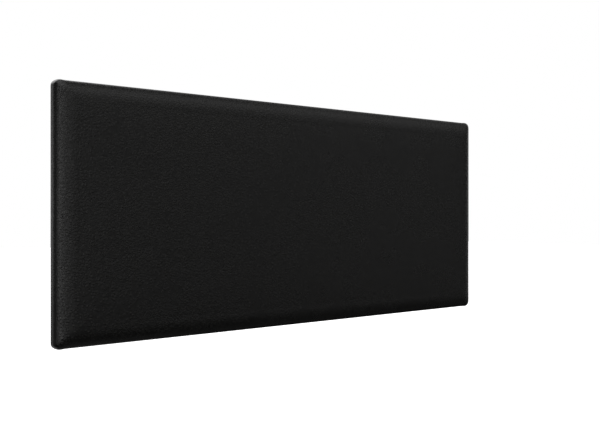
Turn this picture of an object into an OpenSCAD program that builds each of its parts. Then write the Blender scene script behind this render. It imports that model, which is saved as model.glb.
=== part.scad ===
// Wall punch pad: a foam striking panel in a wrapped leathercloth cover, stapled
// to a plywood board that hangs on two aluminium cleat rails.
// X runs along the pad's width and Z is up. The wall is the plane Y = 0 and the
// pad faces -Y. The origin is the centre of the wall rails' screw pattern.

/* [Pad] */
// Width of the finished pad
pad_w = 700; // [670:10:1200]
// Height of the finished pad
pad_h = 300; // [300:10:600]
// Radius of the pad's four corners, seen from the front
corner_r = 6; // [4:1:12]
// Width of the edge zone in which the front curves down to the sides
crown_w = 22; // [16:1:28]

/* [Layers] */
// Thickness of the plywood board
board_t = 9; // [9:1:15]
// Thickness of the firm foam sheet bonded to the board
firm_t = 5; // [3:1:8]
// Thickness of the shock-absorbing foam in front of it
shock_t = 7; // [5:1:20]
// Thickness of the compressed polyester wadding
wadding_t = 1.5; // [1:0.5:3]
// Thickness of the leathercloth cover
cover_t = 1; // [0.8:0.1:1.2]
// Width of the cover's turned-over flaps on the back
flap_w = 38; // [34:1:40]
// Thickness of the non-woven dust cover
dust_t = 0.5; // [0.4:0.1:0.8]

/* [Rails] */
// Length of the wall rails and of the hanger rails
rail_l = 560; // [530:10:570]
// Wall thickness of the rail section
rail_t = 2.5; // [2:0.5:3]
// Height of each rail's flat leg
leg_h = 22; // [18:1:24]
// How far each rail's 45 degree lip stands out from the back of its leg
lip_reach = 7.3; // [6:0.1:7.4]
// Distance from the wall to the face that the hanger rails are screwed to
standoff = 8; // [8:0.5:10]
// Thickness of the anti-rattle tape on the wall rails' lips
tape_t = 0.6; // [0.4:0.1:0.8]
// Height of the screw holes above and below the pad's centre
rail_z = 60; // [50:5:65]

/* [Fixings] */
// Distance between the outer wall screw holes, two wall studs apart
stud_pitch = 406.4; // [400:0.1:410]
// Diameter of the wall screw holes
wall_hole_d = 5; // [4.5:0.5:6]
// Number of cover staples along each long side
staples_long = 18; // [12:1:24]
// Number of cover staples along each short side
staples_short = 7; // [5:1:9]
// Radius of the rubber bumpers at the wall
bumper_r = 9; // [7:1:10]

/* [Hidden] */
$fn = 48;

// Distances from the wall, from the back of the pad to its front
board_back = standoff + dust_t;
board_front = board_back + board_t;
front = board_front + firm_t + shock_t + wadding_t + cover_t;
flap_back = board_back - cover_t;
staple_t = 0.5;
staple_back = flap_back - staple_t;
dust_gap = 0.02;
dust_rim = staple_back - 0.1 - dust_t;

// Clearances between pieces
fit_gap = 0.1;
tape_gap = 0.1;
thread_gap = 0.05;
crown_steps = 8;

// Exponent of the crown's rise from the sides: 1 is a quarter ellipse, and less is fuller
crown_power = 0.8;

// Rails: the lip's faces lie at 45 degrees, so a thickness across them is
// root two times as much when it is measured upwards.
root2 = sqrt(2);
leg_bottom_z = [rail_z - leg_h / 2, -rail_z - leg_h / 2];
hanger_top_rise = 2 * leg_h + standoff + (tape_t + tape_gap) * root2;
hanger_hole_x = [-250, -90, 90, 250];
hanger_hole_r = 2.25;
tape_margin = 1.4;
wall_hole_x = [-stud_pitch / 2, 0, stud_pitch / 2];

// M4 screws and tee nuts
thread_r = 2;
head_r = 4;
head_h = 2.4;
screw_end = board_front - 0.5;
barrel_r = 2.7;
barrel_l = 7;
flange_r = 7.5;
flange_t = 1;
prong_l = 5;

// Staples
staple_w = 10;
staple_wire = 1.2;
cover_staple_leg = 8;
dust_staple_leg = 6;
cover_staple_inset = 27;
dust_staple_inset = 18;
dust_edge_inset = 13;
well_inset = flap_w + 3;
long_row_margin = 30;
short_row_margin = 40;

// Bumpers
bumper_inset = 31;
bumper_wall_gap = 0.3;
bumper_screw_r = 1.75;
bumper_screw_l = 12;
bumper_head_r = 3.6;
bumper_head_h = 2.2;
bumper_recess = 2.6;

// Turns the drawing plane upright: x is the width, y is up, and z is the
// distance from the wall.
module on_wall() {
    rotate([90, 0, 0]) children();
}

// A plate with true round corners, from one distance off the wall to another
module plate(w, h, r, from, to) {
    translate([0, 0, from]) {
        translate([-w / 2 + r, -h / 2, 0]) cube([w - 2 * r, h, to - from]);
        translate([-w / 2, -h / 2 + r, 0]) cube([w, h - 2 * r, to - from]);
        for (x = [-1, 1], y = [-1, 1])
            translate([x * (w / 2 - r), y * (h / 2 - r), 0])
                cylinder(h = to - from, r = r);
    }
}

// Half of the pad's section, skin millimetres inside the finished surface, as points
// of [half width, distance from the wall]: a quick shoulder, then a long soft crown.
function half_section(half, skin, from) = [
    [half - skin, from],
    for (i = [0:crown_steps]) [
        half - crown_w + (crown_w - skin) * cos(90 * i / crown_steps),
        board_front + (front - board_front - skin)
            * pow(sin(90 * i / crown_steps), crown_power)
    ]
];

module section(half, skin, from) {
    right = half_section(half, skin, from);
    left = [for (i = [len(right) - 1:-1:0]) [-right[i].x, right[i].y]];
    polygon(concat(right, left));
}

// The pad's crowned block: two crowned prisms that cross and meet in mitres at the
// corners, trimmed to the corner radius.
module block(skin, from) {
    intersection() {
        rotate([90, 0, 0]) linear_extrude(pad_h, center = true)
            section(pad_w / 2, skin, from);
        rotate([90, 0, 90]) linear_extrude(pad_w, center = true)
            section(pad_h / 2, skin, from);
        plate(pad_w - 2 * skin, pad_h - 2 * skin, corner_r - skin, from, front);
    }
}

// The part of the block between two distances from the wall
module layer(skin, from, to) {
    intersection() {
        block(skin, from);
        translate([-pad_w / 2, -pad_h / 2, from]) cube([pad_w, pad_h, to - from]);
    }
}

module wall_holes() {
    on_wall() for (x = wall_hole_x, z = [-rail_z, rail_z])
        translate([x, z, -1]) cylinder(h = rail_t + 2, d = wall_hole_d);
}

module hanger_holes(r, from, to) {
    for (x = hanger_hole_x, z = hanger_hole_z())
        translate([x, z, from]) cylinder(h = to - from, r = r);
}

function hanger_hole_z() = [for (z = leg_bottom_z) z + hanger_top_rise - leg_h / 2];

// A flat leg with a 45 degree lip, in the plane of distance from the wall and height
module rail_section() {
    polygon([
        [0, 0],
        [rail_t, 0],
        [rail_t, leg_h + rail_t - rail_t * root2],
        [lip_reach, leg_h + lip_reach - rail_t * root2],
        [lip_reach, leg_h + lip_reach],
        [0, leg_h]
    ]);
}

module along_x(length) {
    rotate([90, 0, 90]) mirror([1, 0, 0])
        linear_extrude(length, center = true) children();
}

module wall_rail(bottom) {
    color("silver") difference() {
        translate([0, 0, bottom]) along_x(rail_l) rail_section();
        wall_holes();
    }
}

module hanger_rail(bottom) {
    color("silver") difference() {
        translate([0, -standoff, bottom + hanger_top_rise]) rotate([180, 0, 0])
            along_x(rail_l) rail_section();
        on_wall() hanger_holes(hanger_hole_r, 0, standoff + 1);
    }
}

// Rubber tape along the top of a wall rail's lip
module rail_tape(bottom) {
    rise = tape_t / root2;
    low = tape_margin;
    high = lip_reach - tape_margin / 2;
    color("dimgray") translate([0, 0, bottom + leg_h]) along_x(rail_l) polygon([
        [low, low],
        [high, high],
        [high - rise, high + rise],
        [low - rise, low + rise]
    ]);
}

module backer_board() {
    edge = 2 * (cover_t + fit_gap);
    color("burlywood") on_wall() difference() {
        plate(pad_w - edge, pad_h - edge, corner_r - cover_t, board_back, board_front);
        hanger_holes(barrel_r + fit_gap, board_back - 1, board_front + 1);
        hanger_holes(flange_r + fit_gap, board_front - flange_t - fit_gap, board_front + 1);
        bumper_places() translate([0, 0, board_back - 1])
            cylinder(h = bumper_screw_l, r = bumper_screw_r + thread_gap);
    }
}

module firm_foam() {
    color("dimgray") on_wall()
        layer(cover_t + wadding_t, board_front, board_front + firm_t);
}

module shock_foam() {
    color("gainsboro") on_wall() difference() {
        block(cover_t + wadding_t, board_front);
        translate([-pad_w / 2, -pad_h / 2, board_back])
            cube([pad_w, pad_h, board_t + firm_t]);
    }
}

module wadding() {
    color("white") on_wall() difference() {
        block(cover_t, board_front);
        block(cover_t + wadding_t, board_front - 1);
    }
}

module cover() {
    color([0.09, 0.09, 0.09]) on_wall() difference() {
        block(0, flap_back);
        block(cover_t, board_back);
        translate([0, 0, board_back])
            cube([pad_w - 2 * flap_w, pad_h - 2 * flap_w, 2 * cover_t + 1], center = true);
    }
}

// A wire staple with its crown along x, driven away from the wall
module staple(leg) {
    translate([-staple_w / 2, -staple_wire / 2, 0]) {
        cube([staple_w, staple_wire, staple_t]);
        for (x = [0, staple_w - staple_t])
            translate([x, 0, 0]) cube([staple_t, staple_wire, leg]);
    }
}

// Staples side by side round the back, inset from the pad's edge
module staple_ring(inset, from, leg, long_count, short_count) {
    long_span = pad_w - 2 * inset - long_row_margin;
    short_span = pad_h - 2 * inset - short_row_margin;
    for (side = [-1, 1]) {
        for (i = [0:long_count - 1])
            translate([-long_span / 2 + long_span * i / (long_count - 1),
                       side * (pad_h / 2 - inset), from])
                staple(leg);
        for (i = [0:short_count - 1])
            translate([side * (pad_w / 2 - inset),
                       -short_span / 2 + short_span * i / (short_count - 1), from])
                rotate([0, 0, 90]) staple(leg);
    }
}

module cover_staples() {
    color("silver") on_wall()
        staple_ring(cover_staple_inset, staple_back, cover_staple_leg,
                    staples_long, staples_short);
}

// Cloth stretched over the back: a raised rim on the flaps, a flat middle on the board
module dust_cover() {
    rim_w = pad_w - 2 * dust_edge_inset;
    rim_h = pad_h - 2 * dust_edge_inset;
    well_w = pad_w - 2 * well_inset;
    well_h = pad_h - 2 * well_inset;
    color([0.14, 0.14, 0.15]) on_wall() difference() {
        union() {
            plate(rim_w, rim_h, 3, dust_rim, dust_rim + dust_t);
            plate(well_w, well_h, 3, dust_rim, board_back - dust_gap);
        }
        plate(well_w - 2 * dust_t, well_h - 2 * dust_t, 2.5, dust_rim - 1,
              board_back - dust_t);
        hanger_holes(thread_r + fit_gap, dust_rim, board_back + 1);
        bumper_places() translate([0, 0, dust_rim - 1])
            cylinder(h = 2 * dust_t + 1, r = bumper_screw_r + fit_gap);
    }
}

module dust_cover_staples() {
    color("silver") on_wall()
        staple_ring(dust_staple_inset, dust_rim - staple_t, dust_staple_leg,
                    round(staples_long * 0.6), round(staples_short * 0.6));
}

// Pan-head machine screws with a cross recess, heads towards the wall
module hanger_screws() {
    seat = standoff - rail_t;
    color("silver") on_wall() for (x = hanger_hole_x, z = hanger_hole_z())
        translate([x, z, 0]) difference() {
            union() {
                translate([0, 0, seat - head_h])
                    cylinder(h = head_h / 2, r1 = head_r * 0.8, r2 = head_r);
                translate([0, 0, seat - head_h / 2]) cylinder(h = head_h / 2, r = head_r);
                translate([0, 0, seat - head_h / 2])
                    cylinder(h = screw_end - seat + head_h / 2, r = thread_r - thread_gap);
            }
            cross_recess(seat - head_h, 2, 0.8, 1.4);
        }
}

module cross_recess(from, half_width, slot, depth) {
    for (turn = [0, 90])
        rotate([0, 0, turn]) translate([-half_width, -slot / 2, from - 1])
            cube([2 * half_width, slot, depth + 1]);
}

module tee_nuts() {
    seat = board_front - flange_t - fit_gap / 2;
    color("silver") on_wall() for (x = hanger_hole_x, z = hanger_hole_z())
        translate([x, z, 0]) {
            difference() {
                union() {
                    translate([0, 0, seat]) cylinder(h = flange_t, r = flange_r);
                    translate([0, 0, seat - barrel_l]) cylinder(h = barrel_l + 0.1, r = barrel_r);
                }
                translate([0, 0, seat - barrel_l - 1])
                    cylinder(h = barrel_l + flange_t + 2, r = thread_r);
            }
            for (turn = [45, 135, 225, 315])
                rotate([0, 0, turn]) translate([flange_r - 2, -1, seat - prong_l])
                    cube([0.8, 2, prong_l + 0.1]);
        }
}

module bumper_places() {
    for (x = [-1, 1], z = [-1, 1])
        bumper_place(x, z) children();
}

module bumper_place(x, z) {
    translate([x * (pad_w / 2 - bumper_inset), z * (pad_h / 2 - bumper_inset), 0]) children();
}

// Tapered rubber foot with a recess for its screw, on the dust cover's rim
module bumper(x, z) {
    color([0.12, 0.12, 0.12]) on_wall() bumper_place(x, z) difference() {
        translate([0, 0, bumper_wall_gap])
            cylinder(h = dust_rim - bumper_wall_gap, r1 = bumper_r - 1.5, r2 = bumper_r);
        translate([0, 0, -1]) cylinder(h = dust_rim + 2, r = bumper_screw_r + fit_gap);
        translate([0, 0, -1])
            cylinder(h = dust_rim - bumper_recess + 1, r = bumper_head_r + 0.6);
    }
}

module bumper_screws() {
    seat = dust_rim - bumper_recess;
    color("silver") on_wall() bumper_places() difference() {
        union() {
            translate([0, 0, seat - bumper_head_h])
                cylinder(h = bumper_head_h, r1 = bumper_head_r * 0.75, r2 = bumper_head_r);
            translate([0, 0, seat - 0.5])
                cylinder(h = bumper_screw_l + 0.5, r = bumper_screw_r);
        }
        cross_recess(seat - bumper_head_h, 1.8, 0.7, 1.2);
    }
}

wall_rail(leg_bottom_z[0]);  // wall_rail_upper
wall_rail(leg_bottom_z[1]);  // wall_rail_lower
rail_tape(leg_bottom_z[0]);  // rail_tape_upper
rail_tape(leg_bottom_z[1]);  // rail_tape_lower
backer_board();
firm_foam();
shock_foam();
wadding();
cover();
cover_staples();
dust_cover();
dust_cover_staples();
hanger_rail(leg_bottom_z[0]);  // hanger_rail_upper
hanger_rail(leg_bottom_z[1]);  // hanger_rail_lower
hanger_screws();
tee_nuts();
bumper(-1, 1);  // bumper_top_left
bumper(1, 1);  // bumper_top_right
bumper(-1, -1);  // bumper_bottom_left
bumper(1, -1);  // bumper_bottom_right
bumper_screws();
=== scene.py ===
import math

import bmesh
import bpy
import numpy as np
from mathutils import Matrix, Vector, noise


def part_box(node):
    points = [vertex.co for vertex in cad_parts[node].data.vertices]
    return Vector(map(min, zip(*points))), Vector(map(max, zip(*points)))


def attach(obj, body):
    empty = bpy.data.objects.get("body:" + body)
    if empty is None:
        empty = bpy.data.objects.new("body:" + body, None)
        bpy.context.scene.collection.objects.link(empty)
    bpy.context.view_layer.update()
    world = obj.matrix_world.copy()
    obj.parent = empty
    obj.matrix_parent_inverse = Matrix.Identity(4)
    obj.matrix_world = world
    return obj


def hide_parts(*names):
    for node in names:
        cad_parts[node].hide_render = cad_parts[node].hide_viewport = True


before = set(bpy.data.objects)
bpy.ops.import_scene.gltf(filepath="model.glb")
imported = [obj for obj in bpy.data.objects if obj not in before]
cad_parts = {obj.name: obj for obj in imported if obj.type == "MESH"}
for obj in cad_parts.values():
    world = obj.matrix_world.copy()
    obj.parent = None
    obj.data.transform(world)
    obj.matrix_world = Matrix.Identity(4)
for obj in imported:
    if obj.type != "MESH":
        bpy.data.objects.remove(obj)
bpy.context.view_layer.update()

MM = 0.001

# The frame's planes, as distances from the wall, and the pad's half sizes.
COVER_LOW, COVER_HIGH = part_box("cover")
BOARD_LOW, BOARD_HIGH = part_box("backer_board")
DUST_LOW, DUST_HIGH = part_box("dust_cover")
HALF_W = COVER_HIGH.x
HALF_H = COVER_HIGH.z
FRONT = -COVER_LOW.y
FLAP_BACK = -COVER_HIGH.y
BOARD_FRONT = -BOARD_LOW.y
BOARD_BACK = -BOARD_HIGH.y
FIRM_FRONT = -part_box("firm_foam")[0].y
DUST_RIM = -DUST_HIGH.y
DUST_FLOOR = -DUST_LOW.y
STAPLES_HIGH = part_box("dust_cover_staples")[1]

# The soft layers' shapes. The two skins are the depths of the cover's and the wadding's
# insides below the cover's outside.
CORNER_R = 6 * MM
CROWN_W = 22 * MM
SHOULDER = 0.8  # below 1, the crown is fuller than a quarter of an ellipse
CROWN_ROUNDING = 5 * MM
SKIN_COVER = 1 * MM
SKIN_WADDING = 2.5 * MM
GAP = 0.1 * MM
FLAP_W = 38 * MM
ROOM_TO_SWELL = 0.7 * MM
FACE = FRONT - ROOM_TO_SWELL

# The soft layers' meshes.
CELL = 7 * MM
CORNER_CELL = 1.6 * MM
CORNER_CELLS = 8
ARC_STEPS = 8
CROWN_STEPS = 9
FOAM_CROWN_STEPS = 12


def smooth(low, high, value):
    """0 below low, 1 above high, with a soft change between."""
    t = np.clip((value - low) / (high - low), 0, 1)
    return t * t * (3 - 2 * t)


# ---------------------------------------------------------------- ring sheets

def fractions(half):
    """Places along a straight side from -1 to 1, closer together towards the corners."""
    fine = CORNER_CELL * np.arange(CORNER_CELLS) / half
    inner = 1 - fine[-1] - CORNER_CELL / half
    count = 2 * round(half * inner / CELL)
    middle = np.linspace(-inner, inner, count + 1)
    return np.concatenate([fine - 1, middle, (1 - fine)[::-1]])


def contour(half_w, half_h, radius, columns, rows):
    """A rounded rectangle, anticlockwise as seen from the front, from its bottom side."""
    flat_w, flat_h = half_w - radius, half_h - radius
    arcs = np.linspace(0, math.pi / 2, ARC_STEPS + 1)[1:-1]
    sides = [
        (columns * flat_w, np.full_like(columns, -half_h), flat_w, -flat_h),
        (np.full_like(rows, half_w), rows * flat_h, flat_w, flat_h),
        (columns[::-1] * flat_w, np.full_like(columns, half_h), -flat_w, flat_h),
        (np.full_like(rows, -half_w), rows[::-1] * flat_h, -flat_w, -flat_h),
    ]
    parts = []
    for quarter, (xs, zs, centre_x, centre_z) in enumerate(sides, -1):
        turn = math.pi / 2 * quarter + arcs
        parts.append(np.column_stack([xs, zs]))
        parts.append(np.column_stack([
            centre_x + radius * np.cos(turn),
            centre_z + radius * np.sin(turn),
        ]))
    return np.concatenate(parts)


def core_loop(column_count, row_count):
    """Indices round the core grid in contour()'s order, with each corner repeated."""
    across = np.arange(column_count)
    up = np.arange(row_count) * column_count
    last = column_count - 1
    top = up[-1]
    pause = ARC_STEPS - 1
    return np.concatenate([
        across, np.full(pause, last),
        up + last, np.full(pause, top + last),
        top + across[::-1], np.full(pause, top),
        up[::-1], np.full(pause, 0),
    ])


def sheet_faces(column_count, row_count, ring_count):
    """Faces of the core grid and of the rings round it. At a core corner they are
    triangles."""
    faces = []
    for row in range(row_count - 1):
        for a in range(row * column_count, (row + 1) * column_count - 1):
            faces.append((a, a + 1, a + 1 + column_count, a + column_count))
    inner = core_loop(column_count, row_count)
    around = len(inner)
    for ring in range(ring_count):
        outer = column_count * row_count + ring * around + np.arange(around)
        for k in range(around):
            n = (k + 1) % around
            face = [inner[k], outer[k], outer[n], inner[n]]
            if face[0] == face[3]:
                face.pop()
            faces.append(tuple(int(v) for v in face))
        inner = outer
    return faces


def ring_sheet(rings):
    """Points and faces of a sheet wrapped over a block. rings lists (inset, distance from
    the wall, corner radius) from the edge of the flat core outwards. The first has no
    radius. Returns the points as x, distance and z, the faces, and each point's ring."""
    core_w, core_h = HALF_W - rings[0][0], HALF_H - rings[0][0]
    columns, rows = fractions(core_w), fractions(core_h)
    grid_x, grid_z = np.meshgrid(columns * core_w, rows * core_h)
    flats = [np.column_stack([grid_x.ravel(), grid_z.ravel()])]
    for inset, _, radius in rings[1:]:
        flats.append(contour(HALF_W - inset, HALF_H - inset, radius, columns, rows))
    ranks = np.repeat(np.arange(len(rings)), [len(flat) for flat in flats])
    distances = np.array([distance for _, distance, _ in rings])[ranks]
    flat = np.concatenate(flats)
    points = np.column_stack([flat[:, 0], distances, flat[:, 1]])
    return points, sheet_faces(len(columns), len(rows), len(rings) - 1), ranks


def crown_rings(skin, front, steps, until=None):
    """Rings over the crowned edge, from the face down to the side or to a distance."""
    reach = front - BOARD_FRONT
    rings = []
    for i in range(steps + 1):
        turn = math.pi / 2 * (1 - i / steps)
        inset = CROWN_W - (CROWN_W - skin) * math.cos(turn)
        distance = BOARD_FRONT + reach * math.sin(turn) ** SHOULDER
        if until is not None and distance < until:
            break
        # Without the rounding, the corners narrow evenly to a mitre. The rounding is 0 at
        # both ends of the crown, and 27/4 makes its largest value CROWN_ROUNDING.
        inwards = (inset - skin) / (CROWN_W - skin)
        blunt = CROWN_ROUNDING * 27 / 4 * inwards ** 2
        radius = (CORNER_R - skin + blunt) * (1 - inwards)
        rings.append((inset, distance, max(radius, 0.0)))
    return rings


def make_mesh(name, points, faces, close=False):
    """A smooth-shaded object from points given as x, distance from the wall, and z."""
    mesh = bpy.data.meshes.new(name)
    mesh.from_pydata([(x, -d, z) for x, d, z in points], [], faces)
    bm = bmesh.new()
    bm.from_mesh(mesh)
    if close:
        rim = [e for e in bm.edges if e.is_boundary]
        filled = bmesh.ops.holes_fill(bm, edges=rim, sides=0)
        bmesh.ops.triangulate(bm, faces=filled["faces"])
    bmesh.ops.recalc_face_normals(bm, faces=bm.faces)
    bm.to_mesh(mesh)
    bm.free()
    mesh.shade_smooth()
    obj = bpy.data.objects.new(name, mesh)
    bpy.context.scene.collection.objects.link(obj)
    return obj


def thicken(obj, thickness, offset=-1, levels=0):
    """Gives a sheet its thickness, behind its face or with offset 0 about it, and then
    subdivides it."""
    solid = obj.modifiers.new("thickness", "SOLIDIFY")
    solid.thickness = thickness
    solid.offset = offset
    solid.use_even_offset = True
    if levels:
        finer = obj.modifiers.new("smooth", "SUBSURF")
        finer.levels = levels
        finer.render_levels = levels


# ---------------------------------------------------------------- the cover

def turn_over_rings():
    """Rings down the side, over the board's back edge and inwards on the back."""
    side_steps, turn_steps, flap_steps = 3, 3, 8
    turn_r = 1.4 * MM
    least_corner_r = 4 * MM
    low = FLAP_BACK + turn_r
    rings = []
    for i in range(1, side_steps + 1):
        rings.append((0.0, BOARD_FRONT + (low - BOARD_FRONT) * i / side_steps, CORNER_R))
    for i in range(1, turn_steps + 1):
        turn = math.pi / 2 * i / turn_steps
        inset = turn_r * (1 - math.cos(turn))
        rings.append((inset, low - turn_r * math.sin(turn), CORNER_R - inset))
    for i in range(1, flap_steps + 1):
        inset = turn_r + (FLAP_W - turn_r) * i / flap_steps
        rings.append((inset, FLAP_BACK, max(CORNER_R - inset, least_corner_r)))
    return rings


def swell(points, faces, pinned, cap):
    """How far each point rises when the closed skin is blown out against its own tension."""
    obj = make_mesh("swelling", points, faces, close=True)
    group = obj.vertex_groups.new(name="pinned")
    group.add([int(i) for i in np.flatnonzero(pinned)], 1.0, "REPLACE")
    cloth = obj.modifiers.new("cloth", "CLOTH")
    settings = cloth.settings
    settings.quality = 5
    settings.mass = 0.3
    settings.tension_stiffness = 25
    settings.compression_stiffness = 25
    settings.shear_stiffness = 10
    settings.bending_stiffness = 4
    settings.air_damping = 2
    settings.vertex_group_mass = "pinned"
    settings.use_pressure = True
    settings.uniform_pressure_force = 4
    settings.effector_weights.gravity = 0
    scene = bpy.context.scene
    last_frame = 20
    cloth.point_cache.frame_start = 1
    cloth.point_cache.frame_end = last_frame
    for number in range(1, last_frame + 1):
        scene.frame_set(number)
    settled = obj.evaluated_get(bpy.context.evaluated_depsgraph_get()).to_mesh()
    moved = np.array([v.co[:] for v in settled.vertices])[:len(points)]
    rise = np.maximum(-moved[:, 1] - points[:, 1], 0)
    bpy.data.objects.remove(obj)
    scene.frame_set(1)
    return cap * (1 - np.exp(-rise / cap))


def undulation(x, z, seed):
    """Soft unevenness of a stretched cloth, about -1 to 1."""
    broad_scale, small_scale = 9, 26
    broad = noise.noise(Vector((x * broad_scale, z * broad_scale, seed)))
    small = noise.noise(Vector((x * small_scale, z * small_scale, seed + 5)))
    return broad + 0.35 * small


def pleat_rise(points):
    """Height of the folded corner pleats above the cover's plain surface."""
    x, d, z = np.abs(points[:, 0]), points[:, 1], np.abs(points[:, 2])
    from_side, from_end = HALF_W - x, HALF_H - z
    back_height, side_height = 0.55 * MM, 0.45 * MM
    lap = 1.5 * MM
    # On the back, one flap lies over the other along the corner's diagonal.
    past = from_side - from_end
    on_back = smooth(FLAP_BACK + 1.2 * MM, FLAP_BACK + 0.4 * MM, d)
    fading = 1 - smooth(6 * MM, 30 * MM, past)
    back = back_height * smooth(-lap, lap, past) * fading * on_back
    # On the top and bottom sides, the fold's edge runs from the crown to the back.
    fold = 9 * MM
    at_corner = smooth(fold + lap, fold, from_side) * smooth(0.5 * MM, 5 * MM, from_side)
    on_side = smooth(2 * MM, 0.2 * MM, from_end) * smooth(FLAP_BACK + 20 * MM, BOARD_FRONT, d)
    return back, side_height * at_corner * on_side * (1 - on_back)


def cover_points():
    """The cover's points and faces, with its swell, its unevenness and its pleats."""
    free_rings, fade_rings = 3, 4
    unevenness, seed = 0.22 * MM, 3.0
    crown = crown_rings(0.0, FACE, CROWN_STEPS)
    points, faces, ranks = ring_sheet(crown + turn_over_rings())
    inwards = np.minimum(HALF_W - np.abs(points[:, 0]), HALF_H - np.abs(points[:, 2]))
    rise = swell(points, faces, ranks > free_rings, ROOM_TO_SWELL)
    points[:, 1] += smooth(0, 3 * CROWN_W, inwards) * rise
    soft = np.clip((len(crown) - ranks) / fade_rings, 0, 1)
    for i in np.flatnonzero(soft > 0):
        points[i, 1] += unevenness * soft[i] * undulation(points[i, 0], points[i, 2], seed)
    back, side = pleat_rise(points)
    points[:, 1] -= back
    points[:, 2] += side * np.sign(points[:, 2])
    return points, faces


def make_cover():
    points, faces = cover_points()
    cover = make_mesh("leathercloth_cover", points, faces)
    thicken(cover, SKIN_COVER, levels=1)
    finish_piece(cover, "pad", leathercloth(), "cover")


# ---------------------------------------------------------------- layers inside

def make_wadding():
    rings = crown_rings(SKIN_COVER + GAP, FACE - SKIN_COVER, CROWN_STEPS)
    points, faces, _ = ring_sheet(rings)
    wadding = make_mesh("polyester_wadding", points, faces)
    thicken(wadding, SKIN_WADDING - SKIN_COVER - 2 * GAP)
    finish_piece(wadding, "pad", wadding_fibre(), "wadding")


def make_shock_foam():
    """The upper foam, cut to the crown's shape down to the firm foam's front."""
    low = FIRM_FRONT + GAP
    rings = crown_rings(SKIN_WADDING + GAP, FACE - SKIN_WADDING, FOAM_CROWN_STEPS, until=low)
    inset, _, radius = rings[-1]
    points, faces, _ = ring_sheet([*rings, (inset, low, radius)])
    foam = make_mesh("shock_foam_sheet", points, faces, close=True)
    finish = foam_cells("shock foam", (0.62, 0.6, 0.5), 900)
    finish_piece(foam, "pad", finish, "shock_foam")


def make_firm_foam():
    """The lower foam, cut to the rest of the crown's shape."""
    rings = crown_rings(SKIN_WADDING + GAP, FACE - SKIN_WADDING, FOAM_CROWN_STEPS)
    (inset, _, radius), *below = [ring for ring in rings if ring[1] < FIRM_FRONT]
    top = [(inset + CORNER_CELL, FIRM_FRONT, 0.0), (inset, FIRM_FRONT, radius)]
    points, faces, _ = ring_sheet([*top, *below])
    foam = make_mesh("firm_foam_sheet", points, faces, close=True)
    finish = foam_cells("firm foam", (0.05, 0.05, 0.055), 1600)
    finish_piece(foam, "pad", finish, "firm_foam")


# ---------------------------------------------------------------- the dust cover

def staple_pull(along, half, count):
    """1 at a staple and 0 half way to the next, along a row of staples."""
    pitch = 2 * half / (count - 1)
    return 0.5 + 0.5 * np.cos(2 * np.pi * (along + half) / pitch)


def dust_rings(thickness):
    """Rings from the flat middle, which lies on the board, up the cover's flaps to the
    rim, which lies on them."""
    edge = HALF_W - DUST_HIGH.x
    step, top = FLAP_W + 3 * MM, FLAP_W + 1 * MM
    floor, rim = DUST_FLOOR - thickness, DUST_RIM
    step_steps, rim_steps = 4, 7
    rings = [(step + 3 * MM, floor, 0.0), (step + 1.2 * MM, floor, 1.5 * MM)]
    for i in range(step_steps + 1):
        part = i / step_steps
        eased = float(smooth(0, 1, part))
        rings.append((step + (top - step) * part, floor + (rim - floor) * eased, 2 * MM))
    for i in range(1, rim_steps + 1):
        rings.append((top + (edge - top) * i / rim_steps, rim, 3 * MM))
    return rings


def make_dust_cover():
    thickness = 0.5 * MM
    depth_between_staples, unevenness, seed = 0.9 * MM, 0.12 * MM, 11.0
    # Half the length of each row of staples. The rows end short of the corners.
    row_x, row_z = STAPLES_HIGH.x - 15 * MM, STAPLES_HIGH.z - 20 * MM
    staples_across, staples_up = 11, 4
    fade_rings = 4
    rings = dust_rings(thickness)
    points, faces, ranks = ring_sheet(rings)
    x, z = points[:, 0], points[:, 2]
    near_end = HALF_W - np.abs(x) < HALF_H - np.abs(z)
    pull = np.where(
        near_end,
        staple_pull(z, row_z, staples_up),
        staple_pull(x, row_x, staples_across),
    )
    on_rim = np.clip(1 - (len(rings) - 1 - ranks) / fade_rings, 0, 1)
    tuck = (1 - pull) * on_rim * depth_between_staples
    points[:, 0] -= np.where(near_end, np.sign(x) * tuck, 0)
    points[:, 2] -= np.where(near_end, 0, np.sign(z) * tuck)
    for i in range(len(points)):
        wave = undulation(points[i, 0] * 2, points[i, 2] * 2, seed)
        points[i, 1] += unevenness * min(max(wave, -1), 0.6) * (1 if ranks[i] == 0 else 0.5)
    # The back of the pad is seen from the wall, so the sheet faces it.
    dust = make_mesh("dust_cloth", points, [face[::-1] for face in faces])
    thicken(dust, thickness, offset=0)
    finish_piece(dust, "pad", dust_cloth(), "dust_cover")


# ---------------------------------------------------------------- node helpers

def new_material(name):
    """A material, its node tree and its Principled shader."""
    material = bpy.data.materials.new(name)
    material.use_nodes = True
    tree = material.node_tree
    return material, tree, tree.nodes["Principled BSDF"]


def feed(tree, value, socket):
    """Links another node's output to a socket, or sets the socket to a plain value."""
    if isinstance(value, bpy.types.NodeSocket):
        tree.links.new(value, socket)
    else:
        socket.default_value = value


def math_node(tree, operation, a, b=None, clamp=False):
    node = tree.nodes.new("ShaderNodeMath")
    node.operation = operation
    node.use_clamp = clamp
    feed(tree, a, node.inputs[0])
    if b is not None:
        feed(tree, b, node.inputs[1])
    return node.outputs[0]


def weighted_sum(tree, *terms, clamp=False):
    """The sum of the terms, each a value and its weight."""
    total, *others = [math_node(tree, "MULTIPLY", value, weight) for value, weight in terms]
    for i, term in enumerate(others, 1):
        total = math_node(tree, "ADD", total, term, clamp and i == len(others))
    return total


def vector_math(tree, operation, *values):
    node = tree.nodes.new("ShaderNodeVectorMath")
    node.operation = operation
    for socket, value in zip(node.inputs, values):
        feed(tree, value, socket)
    return node


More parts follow.
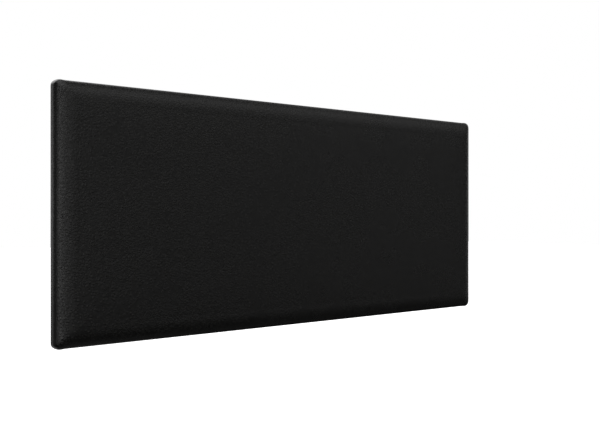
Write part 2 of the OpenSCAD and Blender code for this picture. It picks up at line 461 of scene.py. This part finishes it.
def coordinates(tree, stretch=(1, 1, 1)):
    """The piece's own coordinates, in metres, scaled along each axis."""
    place = tree.nodes.new("ShaderNodeTexCoord")
    scale = tree.nodes.new("ShaderNodeMapping")
    scale.inputs["Scale"].default_value = stretch
    tree.links.new(place.outputs["Object"], scale.inputs["Vector"])
    return scale.outputs["Vector"]


def axes(tree, vector):
    """A vector's three components, by the names X, Y and Z."""
    split = tree.nodes.new("ShaderNodeSeparateXYZ")
    tree.links.new(vector, split.inputs[0])
    return split.outputs


def noise_value(tree, vector, scale, detail=2.0, roughness=0.5, output="Fac"):
    node = tree.nodes.new("ShaderNodeTexNoise")
    node.inputs["Scale"].default_value = scale
    node.inputs["Detail"].default_value = detail
    node.inputs["Roughness"].default_value = roughness
    tree.links.new(vector, node.inputs["Vector"])
    return node.outputs[output]


def cells(tree, vector, scale, feature="DISTANCE_TO_EDGE"):
    node = tree.nodes.new("ShaderNodeTexVoronoi")
    node.feature = feature
    node.inputs["Scale"].default_value = scale
    tree.links.new(vector, node.inputs["Vector"])
    return node.outputs["Distance"]


def remap(tree, value, from_low, from_high, low, high):
    """low below from_low and high above from_high, with a soft change between."""
    node = tree.nodes.new("ShaderNodeMapRange")
    node.interpolation_type = "SMOOTHSTEP"
    node.inputs["From Min"].default_value = from_low
    node.inputs["From Max"].default_value = from_high
    node.inputs["To Min"].default_value = low
    node.inputs["To Max"].default_value = high
    tree.links.new(value, node.inputs["Value"])
    return node.outputs["Result"]


def mix_colours(tree, factor, first, second):
    """A colour between two, each a plain colour or another node's output."""
    node = tree.nodes.new("ShaderNodeMix")
    node.data_type = "RGBA"
    tree.links.new(factor, node.inputs["Factor"])
    for name, value in (("A", first), ("B", second)):
        socket = [s for s in node.inputs if s.name == name and s.type == "RGBA"][0]
        feed(tree, (*value, 1) if isinstance(value, tuple) else value, socket)
    return [s for s in node.outputs if s.type == "RGBA"][0]


def bump(tree, shader, height, depth):
    node = tree.nodes.new("ShaderNodeBump")
    node.inputs["Distance"].default_value = depth
    tree.links.new(height, node.inputs["Height"])
    tree.links.new(node.outputs["Normal"], shader.inputs["Normal"])


def shifted(tree, place, field_scale, reach, stretch=(1, 1, 1)):
    """The coordinates pushed about by a noise field, then scaled along each axis."""
    field = noise_value(tree, place, field_scale, output="Color")
    centred = vector_math(tree, "SUBTRACT", field, (0.5, 0.5, 0.5)).outputs[0]
    moved = vector_math(tree, "MULTIPLY_ADD", centred, (reach, reach, reach), place).outputs[0]
    return vector_math(tree, "MULTIPLY", moved, stretch).outputs[0]


# ---------------------------------------------------------------- materials
# A scale is the number of a pattern's cells or waves in a metre.

def leathercloth():
    """Black leathercloth: pebbles a little longer across the pad than they are high, with
    winding creases between them. Pulled tight round the sides, its grain lies flatter."""
    material, tree, shader = new_material("leathercloth")
    pebble_scale, speck_scale, crease_scale, fine_scale = 310, 980, 210, 3000
    depth, depth_on_sides = 0.23 * MM, 0.25
    dark, light = (0.0058, 0.0057, 0.0053), (0.0178, 0.0175, 0.0165)

    place = coordinates(tree)
    drawn = shifted(tree, place, 24, 0.005, (0.8, 1, 1))
    grain = shifted(tree, drawn, 330, 0.0016)
    pebbles = remap(tree, cells(tree, grain, pebble_scale), 0.0, 0.3, 0, 1)
    specks = remap(tree, cells(tree, grain, speck_scale), 0.0, 0.22, 0, 1)
    fine = noise_value(tree, place, fine_scale, 3)
    crossing = math_node(tree, "SUBTRACT", noise_value(tree, grain, crease_scale), 0.5)
    creases = remap(tree, math_node(tree, "ABSOLUTE", crossing), 0, 0.06, 1, 0)
    patches = remap(tree, noise_value(tree, place, 19), 0.35, 0.65, 0.7, 1)
    creases = math_node(tree, "MULTIPLY", creases, patches)

    height = weighted_sum(tree, (pebbles, 0.6), (specks, 0.12), (fine, 0.06), (creases, -0.4))
    split = axes(tree, place)
    for axis, half in (("X", HALF_W), ("Z", HALF_H)):
        reach = math_node(tree, "ABSOLUTE", split[axis])
        tight = remap(tree, reach, half - 2.5 * MM, half - 0.4 * MM, 1, depth_on_sides)
        height = math_node(tree, "MULTIPLY", height, tight)
    bump(tree, shader, height, depth)

    broad = noise_value(tree, place, 14, 3)
    # Painted shade: the base colour darkens in the creases and in the hollows between pebbles,
    # mixed with a random broad tone.
    tone_and_painted_hollow_shade = weighted_sum(tree, (pebbles, 0.8), (broad, 0.2), (creases, -0.3), clamp=True)
    feed(tree, mix_colours(tree, tone_and_painted_hollow_shade, dark, light), shader.inputs["Base Color"])
    gloss = remap(tree, broad, 0.3, 0.7, 0.25, 0.31)
    rough = weighted_sum(tree, (gloss, 1), (pebbles, -0.06))
    feed(tree, rough, shader.inputs["Roughness"])
    return material


def wadding_fibre():
    """White polyester fibre, felted across the sheet."""
    material, tree, shader = new_material("wadding fibre")
    fibres = noise_value(tree, coordinates(tree, (1, 1, 0.35)), 900, 6, 0.7)
    colour = mix_colours(tree, fibres, (0.6, 0.6, 0.58), (0.9, 0.9, 0.88))
    feed(tree, colour, shader.inputs["Base Color"])
    feed(tree, 0.95, shader.inputs["Roughness"])
    bump(tree, shader, fibres, 0.8 * MM)
    return material


def foam_cells(name, colour, scale):
    """Foam with round pores, their insides painted darker as shade."""
    material, tree, shader = new_material(name)
    pores = remap(tree, cells(tree, coordinates(tree), scale, "F1"), 0.1, 0.7, 0, 1)
    # Painted shade: the foam's own colour is darkened inside each pore.
    dark = tuple(c * 0.55 for c in colour)
    feed(tree, mix_colours(tree, pores, dark, colour), shader.inputs["Base Color"])
    feed(tree, 0.9, shader.inputs["Roughness"])
    bump(tree, shader, pores, 0.4 * MM)
    return material


def dust_cloth():
    """Black spunbonded cloth with its grid of small welded dots and loose fibre between."""
    material, tree, shader = new_material("dust cloth")
    place = coordinates(tree)
    split = axes(tree, place)
    dot_pitch = 1.8 * MM
    rows, lines = (
        math_node(tree, "SINE", math_node(tree, "MULTIPLY", split[axis], 2 * math.pi / dot_pitch))
        for axis in ("X", "Z")
    )
    dots = remap(tree, math_node(tree, "MULTIPLY", rows, lines), 0.25, 0.8, 1, 0)
    fibres = noise_value(tree, place, 1500, 6, 0.75)
    mottle = noise_value(tree, place, 60, 4)
    bump(tree, shader, weighted_sum(tree, (dots, 1), (fibres, 0.7)), 0.12 * MM)
    tone = weighted_sum(tree, (fibres, 0.5), (mottle, 0.5))
    colour = mix_colours(tree, tone, (0.008, 0.008, 0.009), (0.05, 0.05, 0.052))
    feed(tree, colour, shader.inputs["Base Color"])
    feed(tree, remap(tree, dots, 0, 1, 0.5, 0.85), shader.inputs["Roughness"])
    feed(tree, 0.15, shader.inputs["Sheen Weight"])
    return material


def plywood():
    """Birch plywood: seven plies on the edge, and long grain on the faces."""
    material, tree, shader = new_material("plywood")
    plies = 7
    turns = math.pi * plies / (BOARD_FRONT - BOARD_BACK)
    depth = math_node(tree, "MULTIPLY", axes(tree, coordinates(tree))["Y"], turns)
    layer = remap(tree, math_node(tree, "SINE", depth), -0.3, 0.3, 0, 1)
    grain = noise_value(tree, coordinates(tree, (0.06, 1, 1)), 700, 5, 0.65)
    figure = noise_value(tree, coordinates(tree, (0.15, 1, 1)), 40, 3)
    light = mix_colours(tree, grain, (0.42, 0.27, 0.14), (0.66, 0.49, 0.3))
    dark = mix_colours(tree, grain, (0.3, 0.18, 0.09), (0.46, 0.3, 0.16))
    tone = mix_colours(tree, layer, dark, light)
    faded = mix_colours(tree, remap(tree, figure, 0.35, 0.65, 0, 0.35), tone, (0.6, 0.46, 0.3))
    feed(tree, faded, shader.inputs["Base Color"])
    feed(tree, 0.7, shader.inputs["Roughness"])
    bump(tree, shader, grain, 0.1 * MM)
    return material


def extruded_aluminium():
    """Mill-finish aluminium with die lines along the rail and faint handling marks."""
    material, tree, shader = new_material("extruded aluminium")
    lines = noise_value(tree, coordinates(tree, (0.004, 1, 1)), 2600, 4, 0.7)
    marks = noise_value(tree, coordinates(tree), 55, 6, 0.6)
    colour = mix_colours(tree, marks, (0.58, 0.59, 0.6), (0.76, 0.77, 0.78))
    feed(tree, colour, shader.inputs["Base Color"])
    feed(tree, 1.0, shader.inputs["Metallic"])
    drawn = remap(tree, lines, 0.25, 0.75, 0.36, 0.48)
    handled = remap(tree, marks, 0.45, 0.7, 0, 0.1)
    feed(tree, math_node(tree, "ADD", drawn, handled), shader.inputs["Roughness"])
    bump(tree, shader, lines, 0.03 * MM)
    return material


def zinc_plate():
    """Bright zinc with small crystals and a faint bloom."""
    material, tree, shader = new_material("zinc plate")
    place = coordinates(tree)
    spangle = cells(tree, place, 900, "F1")
    bloom = noise_value(tree, place, 220, 4)
    colour = mix_colours(tree, bloom, (0.5, 0.51, 0.53), (0.78, 0.78, 0.77))
    feed(tree, colour, shader.inputs["Base Color"])
    feed(tree, 1.0, shader.inputs["Metallic"])
    feed(tree, remap(tree, spangle, 0, 0.8, 0.25, 0.4), shader.inputs["Roughness"])
    bump(tree, shader, bloom, 0.02 * MM)
    return material


def rubber(name, colour, grain_scale, depth):
    """Matt black rubber with a fine grain and a little dust."""
    material, tree, shader = new_material(name)
    place = coordinates(tree)
    grain = noise_value(tree, place, grain_scale, 4, 0.6)
    dust = remap(tree, noise_value(tree, place, 120, 5, 0.6), 0.4, 0.75, 0, 0.7)
    dusty = tuple(c * 2.2 + 0.01 for c in colour)
    feed(tree, mix_colours(tree, dust, colour, dusty), shader.inputs["Base Color"])
    feed(tree, remap(tree, grain, 0.3, 0.7, 0.55, 0.75), shader.inputs["Roughness"])
    bump(tree, shader, grain, depth)
    return material


# ---------------------------------------------------------------- assembly

def finish_piece(obj, body, material, node):
    """Gives a made piece its finish and its place in the frame."""
    obj.data.materials.clear()
    obj.data.materials.append(material)
    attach(obj, body)
    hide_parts(node)


def dress(material, rounding, *names):
    """Gives CAD nodes their material, and rounds their edges by a hair."""
    for name in names:
        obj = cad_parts[name]
        obj.data.materials.clear()
        obj.data.materials.append(material)
        weld = obj.modifiers.new("weld", "WELD")
        weld.merge_threshold = 0.001 * MM
        edge = obj.modifiers.new("rounding", "BEVEL")
        edge.width = rounding
        edge.segments = 2
        edge.limit_method = "ANGLE"
        edge.angle_limit = math.radians(35)


def dress_frame():
    """Gives every CAD node that stays in view its material."""
    aluminium = extruded_aluminium()
    zinc = zinc_plate()
    tape = rubber("foam tape", (0.03, 0.03, 0.031), 1800, 0.15 * MM)
    bumper = rubber("bumper rubber", (0.018, 0.018, 0.018), 900, 0.06 * MM)
    dress(aluminium, 0.25 * MM, "wall_rail_upper", "wall_rail_lower")
    dress(aluminium, 0.25 * MM, "hanger_rail_upper", "hanger_rail_lower")
    dress(plywood(), 0.3 * MM, "backer_board")
    dress(zinc, 0.12 * MM, "hanger_screws", "tee_nuts", "bumper_screws")
    dress(zinc, 0.15 * MM, "cover_staples", "dust_cover_staples")
    dress(tape, 0.1 * MM, "rail_tape_upper", "rail_tape_lower")
    dress(bumper, 0.5 * MM, "bumper_top_left", "bumper_top_right")
    dress(bumper, 0.5 * MM, "bumper_bottom_left", "bumper_bottom_right")


# ---------------------------------------------------------------- stage

def make_camera():
    """Level with the pad's middle, and looking at its front from the left."""
    azimuth = math.radians(-38.73)
    distance, aside = 1.126, 0.01045
    forward = Vector((-math.sin(azimuth), math.cos(azimuth), 0))
    right = Vector((math.cos(azimuth), math.sin(azimuth), 0))
    camera = bpy.data.objects.new("camera", bpy.data.cameras.new("camera"))
    bpy.context.scene.collection.objects.link(camera)
    camera.data.lens = 48.48
    camera.data.sensor_width = 36
    camera.data.clip_end = 100
    camera.location = aside * right - distance * forward
    camera.rotation_euler = forward.to_track_quat("-Z", "Y").to_euler()
    bpy.context.scene.camera = camera


def make_floor():
    """A wide white floor, a standing height below the pad. It lights nothing."""
    half, drop = 30, 1.3
    corners = [(-half, -half), (half, -half), (half, half), (-half, half)]
    mesh = bpy.data.meshes.new("floor")
    mesh.from_pydata([(x, y, -drop) for x, y in corners], [], [(0, 1, 2, 3)])
    floor = bpy.data.objects.new("floor", mesh)
    bpy.context.scene.collection.objects.link(floor)
    floor.visible_diffuse = False
    floor.visible_glossy = False
    material, tree, shader = new_material("pale floor")
    feed(tree, (0.9, 0.9, 0.9, 1), shader.inputs["Base Color"])
    feed(tree, 1.0, shader.inputs["Roughness"])
    feed(tree, (1, 1, 1, 1), shader.inputs["Emission Color"])
    feed(tree, 1.0, shader.inputs["Emission Strength"])
    floor.data.materials.append(material)


def glow(tree, place, azimuth, height, spread, strength):
    """A soft round light far away, given by its angles in degrees. Azimuth 0 is in front
    of the pad and 90 on its left. Its light fades from its middle to nothing at spread."""
    turn, rise = math.radians(azimuth), math.radians(height)
    direction = (
        -math.sin(turn) * math.cos(rise),
        -math.cos(turn) * math.cos(rise),
        math.sin(rise),
    )
    towards = vector_math(tree, "DOT_PRODUCT", place, direction).outputs["Value"]
    return remap(tree, towards, math.cos(math.radians(spread)), 1, 0, strength)


def make_surround():
    """A world that is plain white to the camera, and that lights the pad with soft round
    lights on every side."""
    world = bpy.data.worlds.new("studio")
    bpy.context.scene.world = world
    world.use_nodes = True
    tree = world.node_tree
    nodes, links = tree.nodes, tree.links
    nodes.clear()
    place = nodes.new("ShaderNodeTexCoord").outputs["Generated"]
    lights = [
        # Level with the pad, from its front right round to its left.
        glow(tree, place, -45, 0, 20, 0.32),
        glow(tree, place, -15, 0, 16, 0.35),
        glow(tree, place, 0, 0, 16, 0.95),
        glow(tree, place, 30, 0, 16, 1.9),
        glow(tree, place, 60, 0, 16, 2.8),
        glow(tree, place, 90, 0, 16, 1.2),
        glow(tree, place, 125, 0, 30, 0.12),
        # Above.
        glow(tree, place, 10, 50, 40, 0.9),
        glow(tree, place, 60, 60, 40, 1.3),
        glow(tree, place, -45, 35, 30, 0.7),
        glow(tree, place, -120, 40, 30, 0.4),
        # On the right, and below.
        glow(tree, place, -105, 0, 26, 0.7),
        glow(tree, place, -60, -40, 40, 0.06),
        glow(tree, place, 0, -90, 45, 0.15),
        # Behind.
        glow(tree, place, 168, 6, 14, 0.7),
        glow(tree, place, 168, -6, 14, 0.52),
        glow(tree, place, 178, 0, 14, 0.5),
        glow(tree, place, 180, 40, 35, 2.0),
        glow(tree, place, 180, -40, 35, 0.5),
    ]
    total = lights[0]
    for light in lights[1:]:
        total = math_node(tree, "ADD", total, light)
    lit = nodes.new("ShaderNodeBackground")
    links.new(total, lit.inputs["Strength"])
    seen = nodes.new("ShaderNodeBackground")
    seen.inputs["Color"].default_value = (1, 1, 1, 1)
    path = nodes.new("ShaderNodeLightPath")
    choose = nodes.new("ShaderNodeMixShader")
    links.new(path.outputs["Is Camera Ray"], choose.inputs["Fac"])
    links.new(lit.outputs[0], choose.inputs[1])
    links.new(seen.outputs[0], choose.inputs[2])
    output = nodes.new("ShaderNodeOutputWorld")
    links.new(choose.outputs[0], output.inputs["Surface"])


def make_stage():
    bpy.context.scene.view_settings.view_transform = "Standard"
    make_surround()
    make_floor()


make_camera()
make_cover()
make_wadding()
make_shock_foam()
make_firm_foam()
make_dust_cover()
dress_frame()
make_stage()
